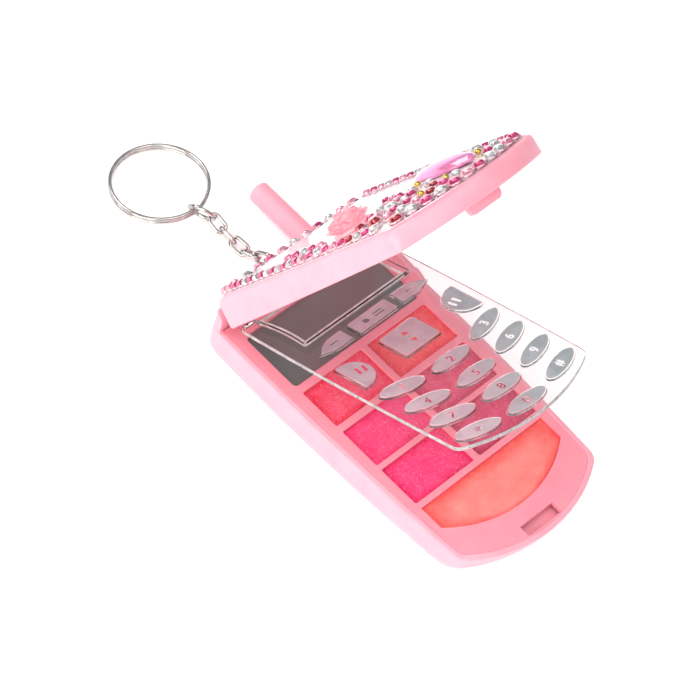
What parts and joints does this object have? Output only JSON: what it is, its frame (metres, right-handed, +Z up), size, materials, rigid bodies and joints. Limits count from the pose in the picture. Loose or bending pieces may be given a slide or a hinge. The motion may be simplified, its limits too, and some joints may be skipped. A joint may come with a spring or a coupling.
{
  "type": "toy cell phone",
  "caption": "Flip-phone shaped toy make-up compact: hinged clear keypad cover over gloss wells and a mirror, a jewelled hinged lid, a pull-out antenna applicator and a key chain.",
  "frame": {"origin": "centre of the case's underside", "axes": "+X to the user's right, +Y from the latch end to the hinge end and the antenna, +Z up"},
  "size_m": [0.0506, 0.1424, 0.0925],
  "materials": {
    "pink_plastic": "glossy moulded",
    "tray_plastic": "glossy moulded",
    "mirror": "mirrored acrylic",
    "gloss_red": "pressed gloss with glitter",
    "gloss_coral": "pressed gloss",
    "gloss_pink": "pressed gloss",
    "gloss_raspberry": "pressed gloss",
    "gloss_hot_pink": "pressed gloss",
    "gloss_orange": "pressed gloss",
    "steel": "plain steel",
    "white_plastic": "plain",
    "sponge": "flocked foam",
    "clear_plastic": "clear polished",
    "silver_foil": "hot-stamped foil",
    "white_sheet": "pearl gloss",
    "clear_stone": "faceted",
    "light_pink_stone": "faceted",
    "magenta_stone": "faceted",
    "red_stone": "faceted",
    "gold": "gold-tone beads",
    "rose_resin": "moulded resin",
    "big_gem": "iridescent faceted",
    "chain": "plated"
  },
  "bodies": {
    "base": {"case": "pink_plastic", "palette_tray": "tray_plastic", "mirror": "mirror", "gloss_red_glitter": "gloss_red", "gloss_coral_red": "gloss_coral", "gloss_pink": "gloss_pink", "gloss_raspberry": "gloss_raspberry", "gloss_hot_pink": "gloss_hot_pink", "gloss_berry": "gloss_raspberry", "gloss_pan_coral": "gloss_orange", "hinge_pins": "steel", "gloss_vial": "tray_plastic"},
    "cover": {"clear_cover": "clear_plastic", "number_keys": "silver_foil", "call_key": "silver_foil", "end_key": "silver_foil", "nav_key": "silver_foil", "left_soft_key": "silver_foil", "centre_soft_key": "silver_foil", "right_soft_key": "silver_foil"},
    "lid": {"lid_shell": "pink_plastic", "decor_sheet": "white_sheet", "stones_clear": "clear_stone", "stones_light_pink": "light_pink_stone", "stones_magenta": "magenta_stone", "stones_red": "red_stone", "gold_beads": "gold", "rose": "rose_resin", "big_gem": "big_gem"},
    "antenna": {"antenna_handle": "pink_plastic", "applicator_stem": "white_plastic", "sponge_tip": "sponge"},
    "link_1": {"chain_link_1": "chain"},
    "link_2": {"chain_link_2": "chain"},
    "link_3": {"chain_link_3": "chain"},
    "link_4": {"chain_link_4": "chain"},
    "link_5": {"chain_link_5": "chain"},
    "link_6": {"chain_link_6": "chain"},
    "jump": {"jump_ring": "chain"},
    "ring": {"split_ring": "chain"}
  },
  "joints": [
    {"name": "cover_hinge", "type": "hinge", "parent": "base", "child": "cover", "pos_m": [0, 0.0438, 0.01325], "axis": [-1, 0, 0], "range_deg": [-23.9, 21.1]},
    {"name": "lid_hinge", "type": "hinge", "parent": "cover", "child": "lid", "pos_m": [0, 0.0438, 0.01325], "axis": [-1, 0, 0], "range_deg": [-39.5, 35.5]},
    {"name": "antenna_slide", "type": "slide", "parent": "base", "child": "antenna", "axis": [0, 1, 0], "range_m": [0, 0.024]},
    {"name": "link_1_swing", "type": "hinge", "parent": "base", "child": "link_1", "pos_m": [0.0024, 0.0489, 0.00575], "axis": [0, 0, 1], "range_deg": [-12, 12]},
    {"name": "link_2_swing", "type": "hinge", "parent": "link_1", "child": "link_2", "pos_m": [0.00189, 0.0525, 0.00471], "axis": [0.9773, 0.0592, -0.2034], "range_deg": [-12, 12]},
    {"name": "link_3_swing", "type": "hinge", "parent": "link_2", "child": "link_3", "pos_m": [0.00157, 0.05556, 0.00237], "axis": [0.3018, 0.5567, 0.774], "range_deg": [-12, 12]},
    {"name": "link_4_swing", "type": "hinge", "parent": "link_3", "child": "link_4", "pos_m": [0.00118, 0.05921, 0.00118], "axis": [0.8256, -0.1154, -0.5523], "range_deg": [-12, 12]},
    {"name": "link_5_swing", "type": "hinge", "parent": "link_4", "child": "link_5", "pos_m": [0.00078, 0.06302, 0.00177], "axis": [0.7677, 0.0244, 0.6403], "range_deg": [-12, 12]},
    {"name": "link_6_swing", "type": "hinge", "parent": "link_5", "child": "link_6", "pos_m": [0.00039, 0.06673, 0.00271], "axis": [0.399, 0.2469, -0.8831], "range_deg": [-12, 12]},
    {"name": "jump_ring_swing", "type": "hinge", "parent": "link_6", "child": "jump", "pos_m": [0.00003, 0.07024, 0.00424], "axis": [0.9745, 0.0113, 0.2243], "range_deg": [-12, 12]},
    {"name": "split_ring_swing", "type": "hinge", "parent": "jump", "child": "ring", "pos_m": [-0.00159, 0.07354, 0.00449], "axis": [0.9959, 0.0906, 0], "range_deg": [-2, 20]}
  ]
}
